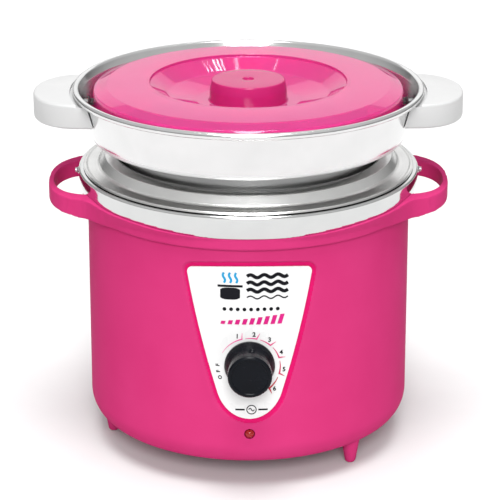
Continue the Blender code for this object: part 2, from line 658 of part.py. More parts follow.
def make_cord_gland(black, axis):
    wall_out, wall_in = BODY_LOW_R + GAP, BODY_TOP_R - BODY_WALL - GAP
    body = [(1.9, 80), (4.8, 80), (4.8, wall_out), (8, wall_out), (8, wall_out + 3), (6.6, wall_out + 4.2),
            (5.2, GLAND_END_R - 0.6), (4.4, GLAND_END_R), (1.9, GLAND_END_R)]
    turned("cord_gland", body, black, axis, SMALL, (0, 0, GLAND_Z), (-90, 0, 0))
    hex_nut("cord_gland_nut", 15, 5.1, 3.2, black, axis, (0, wall_in - 3.4, GLAND_Z), (-90, 0, 0))


# ---------------------------------------------------------------- wiring inside the housing

def make_wiring(finishes, axis):
    floor = PLATE_Z + PLATE_THICK + GAP
    block_y, block_z = 40.0, floor + 5
    block = add("terminal_block", *box_points(30, 12, 10, (0, block_y, block_z)), finishes["ceramic"], axis)
    soften(block, 0.8)
    screws = [((x, block_y, block_z + 1), (x, block_y, block_z + 8), 2.0) for x in (-9, 0, 9)]
    drill(block, screws, axis, 8)
    fuse_z = SHIELD_Z - GAP - 2.2
    fuse = [(0, -7), (1.4, -7), (2.0, -6.2), (2.0, 6.2), (1.4, 7), (0, 7)]
    turned("thermal_fuse", fuse, finishes["brass"], axis, 10, (-34, 0, fuse_z), (90, 0, 0))
    front, back = block_y - 6 - LEAD_GAP, block_y + 6 + LEAD_GAP
    stat_back = -STAT_BACK_R + LEAD_GAP
    pin_z = ELEMENT_Z - GAP - 10 - LEAD_GAP
    fuse_end = 7 + LEAD_GAP
    routes = {
        "wire_live_in": [(-2.5, 79.5, GLAND_Z), (-4, 70, 33), (-9, 55, 26), (-9, back, block_z)],
        "wire_neutral_in": [(2.5, 79.5, GLAND_Z), (4, 70, 33), (9, 55, 26), (9, back, block_z)],
        "wire_to_thermostat": [(-9, front, block_z), (-14, 20, 28), (-20, -20, 42), (-12, -50, 66),
                               (-8, stat_back, DIAL_Z)],
        "wire_to_fuse": [(8, stat_back, DIAL_Z), (4, -50, 74), (-28, -26, 78), (-34, -13, 83), (-34, -fuse_end, fuse_z)],
        "wire_to_element": [(-34, fuse_end, fuse_z), (-34, 14, 82), (-30, 34, 70), (-24, 39, 68),
                            (-PIN_X, PIN_Y, pin_z)],
        "wire_from_element": [(PIN_X, PIN_Y, pin_z), (24, 36, 66), (20, 20, 40), (11, 24, 26), (9, front, block_z)],
        "wire_lamp_live": [(-1.8, -67.7, LAMP_Z), (-6, -50, 30), (-9, 0, 24), (-4, 20, 23), (-2, front, block_z)],
        "wire_lamp_neutral": [(1.8, -67.7, LAMP_Z), (6, -50, 30), (9, 0, 24), (4, 20, 23), (2, front, block_z)],
    }
    for name, route in routes.items():
        colour = finishes["wire_red"] if "neutral" not in name and "from" not in name else finishes["wire_blue"]
        wire(name, route, 1.0, colour, axis)


# ---------------------------------------------------------------- the whole object

def build():
    clear_scene()
    pink = material("pink_plastic", (0.87, 0.06, 0.25), 0.28)
    clear_pink = material("clear_pink_plastic", (0.90, 0.10, 0.32), 0.12, alpha=0.7)
    white = material("white_plastic", (0.86, 0.86, 0.86), 0.35)
    plate_white = material("panel_white", (0.92, 0.92, 0.92), 0.3)
    black = material("black_plastic", (0.012, 0.014, 0.017), 0.35)
    red = material("lamp_red", (0.5, 0.01, 0.01), 0.15)
    chrome = material("chrome", (0.82, 0.82, 0.82), 0.1, 1.0)
    aluminium = material("aluminium", (0.75, 0.75, 0.75), 0.25, 1.0)
    finishes = {
        "steel": material("zinc_steel", (0.55, 0.56, 0.57), 0.35, 1.0),
        "brass": material("brass", (0.70, 0.50, 0.22), 0.3, 1.0),
        "mica": material("mica", (0.45, 0.38, 0.28), 0.6),
        "ceramic": material("ceramic", (0.75, 0.72, 0.65), 0.5),
        "wire_red": material("wire_red", (0.55, 0.02, 0.02), 0.45),
        "wire_blue": material("wire_blue", (0.03, 0.10, 0.45), 0.45),
    }
    steel = finishes["steel"]
    axis = empty("pot_axis", (0, AXIS_Y, 0))
    pan_lift = empty("pan_lift_axis", (0, 0, 0), axis)
    lid_lift = empty("lid_lift_axis", (0, 0, 0), pan_lift)
    dial = empty("dial_axis", around(KNOB_BACK_R, 0, DIAL_Z), axis)
    dial.rotation_euler = (math.radians(90), 0, 0)
    make_housing(pink, axis)
    make_feet(pink, steel, axis)
    make_base(steel, axis)
    make_handle_ring(pink, axis)
    make_collar(chrome, steel, axis)
    make_well(aluminium, axis)
    make_heater(finishes, axis)
    make_tie_rod(steel, axis)
    make_pan(aluminium, pan_lift)
    make_pan_handles(white, steel, pan_lift)
    make_lid(clear_pink, lid_lift)
    make_panel(plate_white, axis)
    make_thermostat(finishes, axis)
    make_knob(black, finishes["brass"], dial)
    make_pilot_lamp(red, finishes["ceramic"], axis)
    make_cord_gland(black, axis)
    make_wiring(finishes, axis)


build()
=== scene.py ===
"""Looks of the electric wax warmer pot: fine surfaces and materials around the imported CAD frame.

Sizes are in millimetres about the pot axis and are turned into metres as each mesh is made. Heights run up
from the foot tips. Bearings are in degrees from the front (-Y), positive towards +X. Positions come from the
CAD boxes.
"""
import math

import bmesh
import bpy
import numpy as np
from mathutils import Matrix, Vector


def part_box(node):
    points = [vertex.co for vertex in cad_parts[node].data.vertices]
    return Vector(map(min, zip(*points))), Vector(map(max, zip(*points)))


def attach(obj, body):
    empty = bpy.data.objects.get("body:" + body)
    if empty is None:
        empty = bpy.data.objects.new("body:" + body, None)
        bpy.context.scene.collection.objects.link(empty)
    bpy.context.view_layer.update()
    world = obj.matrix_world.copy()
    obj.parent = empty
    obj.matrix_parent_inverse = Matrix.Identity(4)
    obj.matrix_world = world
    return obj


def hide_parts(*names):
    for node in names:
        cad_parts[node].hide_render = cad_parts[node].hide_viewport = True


MM = 0.001
ROUND = 192                   # sides of the large turned pieces
SMALL = 48                    # sides of knobs, screws and feet
ARC_STEP = math.radians(12)   # turn between two points of a rounded corner
SHARP = math.radians(35)      # edges sharper than this stay sharp under smooth shading
SKIN = 0.12                   # how far a printed mark stands out
SUNK = 0.05                   # and how far it reaches in
DULLER = 0.26                 # extra roughness of metal that was never polished
PAINTED_SHADE_UNDER_STEP = 0.34                    # painted shade: grey of the pan's metal below its step, for the shadow between pan and flange
SPIN_LINES = 2600.0           # scale of the fine lines on spun metal
STRETCH = 0.02                # share of X that breaks up those lines along their length
SHADE_PATCH = 35.0            # scale of the slow drift of shade on moulded plastic
STAINS = 300.0                # scale of the cloudy stains on plated metal

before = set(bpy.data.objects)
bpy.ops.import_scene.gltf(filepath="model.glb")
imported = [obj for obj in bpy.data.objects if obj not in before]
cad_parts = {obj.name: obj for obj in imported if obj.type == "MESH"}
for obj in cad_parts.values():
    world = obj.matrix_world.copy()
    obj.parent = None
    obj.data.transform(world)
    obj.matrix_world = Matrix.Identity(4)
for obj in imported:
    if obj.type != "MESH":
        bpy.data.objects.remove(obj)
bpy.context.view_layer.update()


# -------------------- places from the frame

class Span:
    """A CAD node's box in millimetres about the pot axis."""

    def __init__(self, node, axis_y=0.0):
        low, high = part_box(node)
        shift = Vector((0, axis_y, 0))
        self.low, self.high = (low - shift) / MM, (high - shift) / MM
        self.base, self.top = self.low.z, self.high.z
        self.radius = self.high.x
        self.middle = (self.low + self.high) / 2


AXIS_Y = sum(corner.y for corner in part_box("housing")) / 2
NODES = {name: Span(name, AXIS_Y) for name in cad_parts}
DIAL_Z = NODES["control_knob"].middle.z


# -------------------- mesh helpers

def around(radius, bearing, height=0.0):
    """The point at a radius and a bearing from the front."""
    angle = math.radians(bearing)
    return (radius * math.sin(angle), -radius * math.cos(angle), height)


def rounded(corners):
    """A closed line through corners of (x, y) or (x, y, fillet), each fillet drawn as an arc."""
    line = []
    count = len(corners)
    for index, (x, y, *fillet) in enumerate(corners):
        here = Vector((x, y))
        if not fillet:
            line.append(here)
            continue
        back = (Vector(corners[index - 1][:2]) - here).normalized()
        ahead = (Vector(corners[(index + 1) % count][:2]) - here).normalized()
        half = back.angle(ahead) / 2
        centre = here + (back + ahead).normalized() * (fillet[0] / math.sin(half))
        start = here + back * (fillet[0] / math.tan(half)) - centre
        turn = math.copysign(math.pi - 2 * half, back.x * ahead.y - back.y * ahead.x)
        steps = max(2, math.ceil(abs(turn) / ARC_STEP))
        for step in range(steps + 1):
            angle = -turn * step / steps
            line.append(centre + Vector((start.x * math.cos(angle) - start.y * math.sin(angle),
                                         start.x * math.sin(angle) + start.y * math.cos(angle))))
    return [tuple(point) for point in line]


def arc(centre, radius, start, end):
    steps = max(2, math.ceil(math.radians(abs(end - start)) / ARC_STEP))
    angles = [math.radians(start + (end - start) * step / steps) for step in range(steps + 1)]
    return [(centre[0] + radius * math.cos(a), centre[1] + radius * math.sin(a)) for a in angles]


def solid(name, points, faces, finish, body=None, place=(0, 0, 0), turn=(0, 0, 0), slot=None):
    """A closed piece from points in millimetres, standing at place from the pot axis and riding on a body."""
    mesh = bpy.data.meshes.new(name)
    mesh.from_pydata([Vector(p) * MM for p in points], [], faces)
    shaper = bmesh.new()
    shaper.from_mesh(mesh)
    bmesh.ops.recalc_face_normals(shaper, faces=shaper.faces)
    shaper.to_mesh(mesh)
    shaper.free()
    made = bpy.data.objects.new(name, mesh)
    bpy.context.scene.collection.objects.link(made)
    made.location = Vector(place) * MM + Vector((0, AXIS_Y, 0))
    made.rotation_euler = [math.radians(angle) for angle in turn]
    if finish:
        mesh.materials.append(finish)
    shade(made)
    if body:
        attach(made, body)
    return made


def mount(piece, body, node):
    """Lets a finished piece ride on a body in place of a CAD node."""
    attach(piece, body)
    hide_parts(node)


def shade(piece):
    piece.data.shade_smooth()
    piece.data.set_sharp_from_angle(angle=SHARP)


def turned_shape(line, sides=ROUND):
    """Points and faces of a closed (radius, height) line turned about Z. Radius 0 makes one pole point."""
    points, rows, faces = [], [], []
    for radius, height in line:
        if radius < 1e-6:
            rows.append([len(points)] * sides)
            points.append((0, 0, height))
            continue
        rows.append(range(len(points), len(points) + sides))
        for step in range(sides):
            points.append(around(radius, 360 * step / sides, height))
    for row, after in zip(rows, rows[1:] + rows[:1]):
        for step in range(sides):
            follow = (step + 1) % sides
            ring = list(dict.fromkeys((row[step], row[follow], after[follow], after[step])))
            if len(ring) > 2:
                faces.append(ring)
    return points, faces


def turned(name, line, finish, body=None, sides=ROUND, **more):
    return solid(name, *turned_shape(line, sides), finish, body, **more)


def prism_shape(outline, low, high):
    count = len(outline)
    points = [(x, y, low) for x, y in outline] + [(x, y, high) for x, y in outline]
    faces = [list(range(count))[::-1], list(range(count, 2 * count))]
    faces += [(k, (k + 1) % count, count + (k + 1) % count, count + k) for k in range(count)]
    return points, faces


def shown_mesh(thing):
    """A new mesh of what a piece or a text looks like with its modifiers or extrusion."""
    graph = bpy.context.evaluated_depsgraph_get()
    return bpy.data.meshes.new_from_object(thing.evaluated_get(graph))


def settle(piece):
    """Puts the modifiers' result into the piece's own mesh."""
    mesh = shown_mesh(piece)
    piece.modifiers.clear()
    piece.data = mesh
    shade(piece)


def cut(piece, *shapes):
    """Cuts closed shapes, given as (points, faces, place, turn), out of the piece."""
    tools = []
    for points, faces, place, turn in shapes:
        tool = solid("cutter", points, faces, None, place=place, turn=turn)
        change = piece.modifiers.new("cut", "BOOLEAN")
        change.operation = "DIFFERENCE"
        change.solver = "EXACT"
        change.object = tool
        tools.append(tool)
    settle(piece)
    for tool in tools:
        bpy.data.objects.remove(tool)


def trim(piece, line):
    """Cuts a closed (radius, height) line, turned about the pot axis, out of the piece."""
    cut(piece, (*turned_shape(line, 256), (0, 0, 0), (0, 0, 0)))


def bar(radius, length, sides=32):
    return turned_shape([(0, 0), (radius, 0), (radius, length), (0, length)], sides)


def bore(radius, height, side=-1):
    """A round cutter through the housing's wall at the front, or at the back where side is 1."""
    return (*bar(radius, 20), (0, 78 * side, height), (-90 * side, 0, 0))


def cuboid(width, depth, height):
    corners = [(x * width / 2, y * depth / 2) for x, y in ((-1, -1), (1, -1), (1, 1), (-1, 1))]
    return prism_shape(corners, -height / 2, height / 2)


# -------------------- materials

def grey(shade):
    return (shade, shade, shade)


class Nodes:
    """A material's shader tree, built with short calls."""

    def __init__(self, name):
        self.material = bpy.data.materials.new(name)
        self.material.use_nodes = True
        self.tree = self.material.node_tree
        self.shader = self.tree.nodes["Principled BSDF"]
        self.place = self.add("ShaderNodeTexCoord").outputs["Object"]

    def add(self, kind, **settings):
        made = self.tree.nodes.new(kind)
        for key, value in settings.items():
            setattr(made, key, value)
        return made

    def join(self, output, target):
        self.tree.links.new(output, target)

    def noise(self, scale, detail=2.0, where=None):
        made = self.add("ShaderNodeTexNoise")
        made.inputs["Scale"].default_value = scale
        made.inputs["Detail"].default_value = detail
        self.join(where or self.place, made.inputs["Vector"])
        return made.outputs["Fac"]

    def span(self, factor, low, high, start=0.3, end=0.7):
        made = self.add("ShaderNodeMapRange")
        self.join(factor, made.inputs["Value"])
        for name, value in (("From Min", start), ("From Max", end), ("To Min", low), ("To Max", high)):
            made.inputs[name].default_value = value
        return made.outputs["Result"]

    def mix(self, factor, first, second):
        """A colour between two, each plain or another output. The node's colours are sockets 6, 7 and 2."""
        made = self.add("ShaderNodeMix", data_type="RGBA")
        self.join(factor, made.inputs["Factor"])
        for socket, value in ((made.inputs[6], first), (made.inputs[7], second)):
            if isinstance(value, tuple):
                socket.default_value = (*value, 1.0)
            else:
                self.join(value, socket)
        return made.outputs[2]

    def bump(self, height, distance):
        made = self.add("ShaderNodeBump")
        made.inputs["Strength"].default_value = 1.0
        made.inputs["Distance"].default_value = distance * MM
        self.join(height, made.inputs["Height"])
        return made.outputs["Normal"]

    def parts(self):
        """The X, Y and Z outputs of the place."""
        made = self.add("ShaderNodeSeparateXYZ")
        self.join(self.place, made.inputs["Vector"])
        return made.outputs

    def rings(self):
        """Noise drawn out round the pot axis, as turning or polishing leaves it."""
        parts = self.parts()
        flat = self.add("ShaderNodeCombineXYZ")
        self.join(parts["X"], flat.inputs["X"])
        self.join(parts["Y"], flat.inputs["Y"])
        reach = self.add("ShaderNodeVectorMath", operation="LENGTH")
        self.join(flat.outputs["Vector"], reach.inputs[0])
        drawn = self.add("ShaderNodeCombineXYZ")
        self.join(reach.outputs["Value"], drawn.inputs["X"])
        self.join(parts["Z"], drawn.inputs["Y"])
        along = self.add("ShaderNodeMath", operation="MULTIPLY")
        self.join(parts["X"], along.inputs[0])
        along.inputs[1].default_value = STRETCH
        self.join(along.outputs["Value"], drawn.inputs["Z"])
        return self.noise(SPIN_LINES, 3.0, drawn.outputs["Vector"])

    def finish(self, colour=None, roughness=None, normal=None, **sockets):
        for name, value in (("Base Color", colour), ("Roughness", roughness), ("Normal", normal)):
            if value is not None:
                self.join(value, self.shader.inputs[name])
        for name, value in sockets.items():
            self.shader.inputs[name.replace("_", " ")].default_value = value
        return self.material


def moulded(name, dark, light, rough, grain=900.0, depth=0.003, **sockets):
    """Moulded plastic: a slow drift of shade, uneven gloss and a fine skin."""
    nodes = Nodes(name)
    colour = nodes.mix(nodes.span(nodes.noise(SHADE_PATCH, 3.0), 0.0, 1.0), dark, light)
    roughness = nodes.span(nodes.noise(SHADE_PATCH * 4, 4.0), *rough)
    skin = nodes.bump(nodes.noise(grain, 2.0), depth)
    return nodes.finish(colour, roughness, skin, **sockets)


def spun(name, dark, light, rough, depth, dull_below=None, painted_shade_below=None, **sockets):
    """Spun sheet metal with fine lines round the axis, unpolished below one height and with painted shade
    below another.
    """
    nodes = Nodes(name)
    lines = nodes.rings()
    clouds = nodes.noise(60.0, 3.0)
    colour = nodes.mix(nodes.span(clouds, 0.0, 1.0), dark, light)
    roughness = nodes.span(lines, *rough)
    if dull_below:
        height = nodes.parts()["Z"]
        dull = nodes.span(height, DULLER, 0.0, dull_below * MM, (dull_below + 0.6) * MM)
        total = nodes.add("ShaderNodeMath", operation="ADD")
        nodes.join(roughness, total.inputs[0])
        nodes.join(dull, total.inputs[1])
        roughness = total.outputs["Value"]
        # painted shade: below this height the colour turns to a flat grey, for the shadow in the gap under
        # the pan's step
        unshaded = nodes.span(height, 0.0, 1.0, painted_shade_below * MM, (painted_shade_below + 0.4) * MM)
        colour = nodes.mix(unshaded, grey(PAINTED_SHADE_UNDER_STEP), colour)
    around_axis = nodes.add("ShaderNodeTangent", direction_type="RADIAL", axis="Z")
    nodes.join(around_axis.outputs["Tangent"], nodes.shader.inputs["Tangent"])
    return nodes.finish(colour, roughness, nodes.bump(lines, depth), Metallic=1.0, **sockets)


def plated(name, dark, light, rough):
    """Plated or bare metal of small parts, with cloudy stains."""
    nodes = Nodes(name)
    clouds = nodes.noise(STAINS, 4.0)
    colour = nodes.mix(nodes.span(clouds, 0.0, 1.0), dark, light)
    roughness = nodes.span(nodes.noise(STAINS * 3, 3.0), *rough)
    return nodes.finish(colour, roughness, nodes.bump(nodes.noise(STAINS * 6, 2.0), 0.01), Metallic=1.0)


def flecked(name, dark, light, rough):
    """Mica or fired ceramic: a coarse speckle with a rough skin."""
    nodes = Nodes(name)
    specks = nodes.noise(1400.0, 5.0)
    colour = nodes.mix(nodes.span(specks, 0.0, 1.0, 0.4, 0.6), dark, light)
    roughness = nodes.span(nodes.noise(500.0, 3.0), *rough)
    return nodes.finish(colour, roughness, nodes.bump(specks, 0.03))


def clear_plastic(name, dark, light, rough, clearness, bend):
    """See-through pink plastic, a little cloudy."""
    nodes = Nodes(name)
    cloud = nodes.span(nodes.noise(45.0, 3.0), 0.0, 1.0)
    colour = nodes.mix(cloud, dark, light)
    roughness = nodes.span(nodes.noise(150.0, 3.0), *rough)
    skin = nodes.bump(nodes.noise(70.0, 2.0), 0.03)
    return nodes.finish(colour, roughness, skin, Transmission_Weight=clearness, IOR=bend)


PINK = moulded("pink_plastic", (0.475, 0.029, 0.137), (0.50, 0.034, 0.150), (0.42, 0.50),
               Specular_IOR_Level=0.004)
# painted shade: a deeper pink without sheen for the recess round the control plate, where the skin lies in
# shade
GROOVE_SHADE_PINK = moulded("pink_groove_painted_shade", (0.52, 0.005, 0.105), (0.55, 0.007, 0.115), (0.40, 0.48),
                    Specular_IOR_Level=0.05)
CLEAR = clear_plastic("clear_pink_plastic", (0.90, 0.050, 0.36), (0.94, 0.064, 0.39), (0.04, 0.08),
                      0.68, 1.49)
CLEAR_KNOB = clear_plastic("clear_pink_knob", (0.56, 0.020, 0.170), (0.60, 0.026, 0.190), (0.06, 0.11),
                           0.40, 1.30)
WHITE = moulded("white_plastic", grey(0.44), grey(0.46), (0.34, 0.42))
PLATE = moulded("panel_white", grey(0.64), grey(0.645), (0.25, 0.32))
BLACK = moulded("black_plastic", (0.003, 0.0035, 0.005), (0.005, 0.006, 0.009), (0.20, 0.30), grain=1600.0,
                Specular_IOR_Level=0.10)
LENS = moulded("lamp_red", (0.28, 0.002, 0.003), (0.42, 0.004, 0.004), (0.10, 0.16), Transmission_Weight=0.25)
INK = moulded("print_dark", (0.006, 0.006, 0.008), (0.010, 0.010, 0.013), (0.5, 0.6), Specular_IOR_Level=0.04)
MAGENTA_INK = moulded("print_magenta", (0.46, 0.010, 0.150), (0.52, 0.014, 0.18), (0.5, 0.6),
                      Specular_IOR_Level=0.1)
BLUE_INK = moulded("print_blue", (0.010, 0.22, 0.42), (0.016, 0.27, 0.50), (0.5, 0.6), Specular_IOR_Level=0.1)
CHROME = spun("chrome", (0.65, 0.655, 0.655), (0.69, 0.695, 0.69), (0.07, 0.12), 0.002)
# the pan's metal: unpolished below 175.6 mm, and with painted shade below 173.3 mm, where the gap under its
# step lies in shadow
BRIGHT = spun("polished_aluminium", grey(0.75), grey(0.80), (0.10, 0.17), 0.003,
              dull_below=175.6, painted_shade_below=173.3)
SATIN = spun("spun_aluminium", (0.74, 0.74, 0.73), (0.82, 0.82, 0.81), (0.20, 0.27), 0.004, Anisotropic=0.5)
STEEL = plated("zinc_steel", (0.50, 0.51, 0.52), (0.62, 0.63, 0.64), (0.26, 0.40))
DULL_STEEL = plated("dull_steel", grey(0.10), grey(0.15), (0.50, 0.60))
BRASS = plated("brass", (0.62, 0.42, 0.17), (0.74, 0.54, 0.25), (0.24, 0.36))
MICA = flecked("mica", (0.30, 0.24, 0.16), (0.55, 0.47, 0.34), (0.45, 0.65))
CERAMIC = flecked("ceramic", (0.68, 0.64, 0.56), (0.80, 0.77, 0.70), (0.45, 0.6))
RED_LEAD = moulded("wire_red", (0.42, 0.012, 0.012), (0.56, 0.022, 0.020), (0.4, 0.5))
BLUE_LEAD = moulded("wire_blue", (0.022, 0.075, 0.36), (0.035, 0.11, 0.48), (0.4, 0.5))

CAD_FINISHES = {              # inner CAD parts that are neither steel nor leads
    "heating_element": MICA,
    "thermostat_body": CERAMIC,
    "pilot_lamp_holder": CERAMIC,
    "terminal_block": CERAMIC,
    "thermostat_shaft": BRASS,
    "thermal_fuse": BRASS,
    "heater_terminal_left": BRASS,
    "heater_terminal_right": BRASS,
    "cord_gland_nut": BLACK,
}


# -------------------- control panel outline

PLATE_BASE = NODES["control_plate"].base
PLATE_TOP = NODES["control_plate"].top
PLATE_FRONT = -NODES["control_plate"].low.y
PLATE_THICKNESS = 0.6
JOIN_Z = PLATE_BASE + 15.6    # the sloping sides run into the oval lower end here
OVAL_Z = PLATE_BASE + 22.3    # the middle of the oval
OVAL_HALF = 18.27
JOIN_HALF = 17.4
TOP_HALF = 34.2
BOW = 0.28                    # how far the sloping sides bulge
PLATE_CORNER = 3.6
PLATE_CROWN = 1.7             # the top edge's rise from its corners to its middle
GROOVE = 1.9                  # from the plate's edge to the recess edge
GROOVE_DEPTH = 1.15
GROOVE_SOFT = 1.1             # width of the rounded recess edge


def plate_half_width(height):
    """Half the plate's width at a height: oval lower end, bowed sides, rounded corners and crowned top."""
    if height < JOIN_Z:
        share = (OVAL_Z - height) / (OVAL_Z - PLATE_BASE)
        return OVAL_HALF * math.sqrt(max(0, 1 - share ** 2))
    share = (height - JOIN_Z) / (PLATE_TOP - JOIN_Z)
    half = JOIN_HALF + (TOP_HALF - JOIN_HALF) * share * (1 + BOW * (1 - share))
    shoulder = PLATE_TOP - PLATE_CROWN
    if height > shoulder:
        return (TOP_HALF - PLATE_CORNER) * math.sqrt(max(0, (PLATE_TOP - height) / PLATE_CROWN))
    drop = shoulder - height
    if drop < PLATE_CORNER:
        half -= PLATE_CORNER * (1 - math.sqrt(max(0, 1 - (1 - drop / PLATE_CORNER) ** 2)))
    return half


def plate_heights():
    """Heights of the plate's rows, closer together at its two rounded ends."""
    low = [OVAL_Z - (OVAL_Z - PLATE_BASE) * math.cos(math.radians(a)) for a in range(0, 72, 3)]
    shoulder = PLATE_TOP - PLATE_CROWN
    high = [shoulder - PLATE_CORNER * (1 - math.cos(math.radians(a))) for a in range(90, -1, -6)]
    crown = [PLATE_TOP - PLATE_CROWN * (k / 10) ** 2 for k in range(9, -1, -1)]
    steps = 30
    middle = [low[-1] + (high[0] - low[-1]) * k / steps for k in range(1, steps)]
    return low + middle + high + crown


def wrap(across, height, lift=0.0):
    """A point of the flat panel drawing, laid round the front of the plate."""
    return around(PLATE_FRONT + lift, math.degrees(across / PLATE_FRONT), height)


def recess_depth(bearings, heights):
    """How far the housing's skin goes in at each bearing and height, as a grid."""
    edge = [(plate_half_width(z), z) for z in plate_heights()]
    line = np.array(edge + [(-x, z) for x, z in edge[::-1]])
    start, end = line, np.roll(line, -1, axis=0)
    across, up = np.meshgrid(np.radians(bearings) * PLATE_FRONT, heights)
    spot = np.stack([across.ravel(), up.ravel()], axis=1)
    nearest = np.full(len(spot), 1e9)
    inside = np.zeros(len(spot), bool)
    for a, b in zip(start, end):
        run = b - a
        share = np.clip(((spot - a) @ run) / max(run @ run, 1e-9), 0, 1)
        nearest = np.minimum(nearest, np.hypot(*(spot - a - share[:, None] * run).T))
        if a[1] != b[1]:
            crosses = (a[1] > spot[:, 1]) != (b[1] > spot[:, 1])
            inside ^= crosses & (spot[:, 0] < a[0] + (spot[:, 1] - a[1]) / (b[1] - a[1]) * run[0])
    distance = np.where(inside, -nearest, nearest)
    share = np.clip((GROOVE + GROOVE_SOFT - distance) / GROOVE_SOFT, 0, 1)
    depth = GROOVE_DEPTH * share ** 2 * (3 - 2 * share)
    return depth.reshape(across.shape)


# -------------------- housing

WALL = 2.5                    # the housing's plastic
DRAFT = 0.4                   # how much narrower the housing is at its top
EDGE_ACROSS, EDGE_UP = 9.5, 12.5    # the rounding of its bottom edge
LIP_R = 60.0                  # the opening in its floor, closed by the base plate
PANEL_SECTOR = 28             # bearings to both sides that get fine columns for the panel's recess
DIAL_BORE, LAMP_BORE, GLAND_BORE = 4.9, 2.9, 5.2


def grade(start, end, step):
    """Even steps from the start up to, but not with, the end."""
    count = max(1, round((end - start) / step))
    return [start + (end - start) * k / count for k in range(count)]


def make_housing():
    box, ring = NODES["housing"], NODES["handle_ring"]
    low_r, top_r = box.radius, box.radius - DRAFT
    edge_r, edge_z = low_r - EDGE_ACROSS, box.base + EDGE_UP
    lip_top = box.base + WALL
    bearings = grade(-PANEL_SECTOR, PANEL_SECTOR, 0.35) + grade(PANEL_SECTOR, 360 - PANEL_SECTOR, 2.0)
    outside = [(top_r, box.top - 0.6), (top_r, ring.top), (top_r, ring.base + 3)]
    heights = grade(edge_z, ring.base - 1, 0.5)[::-1]
    outside += [(low_r + (top_r - low_r) * (z - edge_z) / (ring.base - edge_z), z) for z in heights]
    turns = [math.radians(a) for a in range(6, 91, 6)]
    outside += [(edge_r + EDGE_ACROSS * math.cos(a), edge_z - EDGE_UP * math.sin(a)) for a in turns]
    inside = [(LIP_R + 0.5, box.base), (LIP_R, box.base + 0.5), (LIP_R, lip_top - 0.5),
              (LIP_R + 0.5, lip_top), (edge_r - 2, lip_top), (low_r - WALL - 1, edge_z - 4),
              (low_r - WALL, edge_z), (top_r - WALL, box.top), (top_r - 0.6, box.top)]
    line = outside + inside
    depth = recess_depth(bearings, [z for _, z in outside])
    points, faces = [], []
    count = len(bearings)
    for row, (radius, height) in enumerate(line):
        for column, bearing in enumerate(bearings):
            inset = depth[row][column] if row < len(outside) else 0.0
            points.append(around(radius - inset, bearing, height))
    for row in range(len(line)):
        after = (row + 1) % len(line)
        for column in range(count):
            follow = (column + 1) % count
            faces.append((row * count + column, row * count + follow,
                          after * count + follow, after * count + column))
    housing = solid("pot_housing", points, faces, PINK, "base", slot="pink_plastic")
    # painted shade: the faces deep in the recess take the second, shaded pink
    housing.data.materials.append(GROOVE_SHADE_PINK)
    for face in housing.data.polygons:
        row, column = divmod(face.index, count)
        face.material_index = int(row < len(outside) and depth[row][column] > GROOVE_DEPTH * 0.7)
    lamp, gland = NODES["pilot_lens"], NODES["cord_gland"]
    cut(housing, bore(DIAL_BORE, DIAL_Z), bore(LAMP_BORE, lamp.middle.z), bore(GLAND_BORE, gland.middle.z, 1))
    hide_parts("housing")


# -------------------- handle ring

LOOP_SQUARENESS = 2.3
LOOP_CENTRE = 85.0
LOOP_HALF, OPENING_HALF = 39.6, 31
STRAP = 2.9                   # a loop's thickness at its middle
DROOP = 2.6                   # how much lower a loop is at its roots
ROOT_R = 82.0                 # the loops' hidden ends inside the ring
FLARE = (                     # a loop runs out along the ring: degrees off the X axis, two radii, top height
    (21.4, 99.6, 103.4, 148.0), (22.8, 97.2, 100.4, 148.0), (24.2, 95.8, 98.2, 148.0),
    (25.7, 95.0, 96.8, 148.0), (27.5, 94.2, 95.9, 147.8), (30, 93.2, 95.3, 147.3), (34, 91.6, 94.9, 146.7),
    (39, 90.2, 94.7, 146.4), (46, 89.4, 94.6, 146.1), (52, 89.2, 94.4, 145.6), (58, 89.2, 94.1, 145.0),
    (64, 89.2, 93.7, 144.5), (70, 89.2, 93.2, 144.1), (76, 89.2, 92.6, 143.8), (82, 89.2, 92.0, 143.5))
RING_INSIDE = 89.2
RING_OUTSIDE = 91.7


def oval(centre, reach, half_width, squareness, start, end, steps):
    """Points of a squarish half oval that stands out from a centre along X."""
    power = 2 / squareness
    points = []
    for step in range(steps + 1):
        angle = math.radians(start + (end - start) * step / steps)
        across = math.copysign(abs(math.sin(angle)) ** power, math.sin(angle))
        points.append((centre + reach * abs(math.cos(angle)) ** power, half_width * across))
    return points


def strap(side):
    """A loop's strap as a bent bar: it runs out along the ring, and its underside is lower at the roots."""
    box = NODES["handle_ring"]
    top = box.top
    reach = box.radius - LOOP_CENTRE
    outer = oval(LOOP_CENTRE, reach, LOOP_HALF, LOOP_SQUARENESS, -62, 62, 64)
    inner = oval(LOOP_CENTRE, reach - STRAP, OPENING_HALF, LOOP_SQUARENESS, -90, 90, 64)
    sections = []
    for (x, y), (u, v) in zip(outer, inner):
        low = box.base + DROOP * min(1, max(0, (x - LOOP_CENTRE + 1) / reach)) ** 0.7
        sections.append(((x, y, low), (u, v, low), (u, v, top), (x, y, top)))
    run_out = []
    low = box.base + 0.1
    for bearing, low_r, top_r, height in FLARE:
        x, y = math.cos(math.radians(bearing)), math.sin(math.radians(bearing))
        run_out.append(((x * low_r, y * low_r, low), (x * ROOT_R, y * ROOT_R, low),
                        (x * ROOT_R, y * ROOT_R, height), (x * top_r, y * top_r, height)))
    mirrored = [[(x, -y, z) for x, y, z in section] for section in run_out]
    sections = mirrored[::-1] + sections + run_out
    points = [(side * x, y, z) for section in sections for x, y, z in section]
    faces = []
    for section in range(len(sections) - 1):
        for k in range(4):
            a, b = 4 * section + k, 4 * section + (k + 1) % 4
            faces.append((a, b, b + 4, a + 4))
    last = len(points) - 4
    faces += [(3, 2, 1, 0), (last, last + 1, last + 2, last + 3)]
    return points, faces


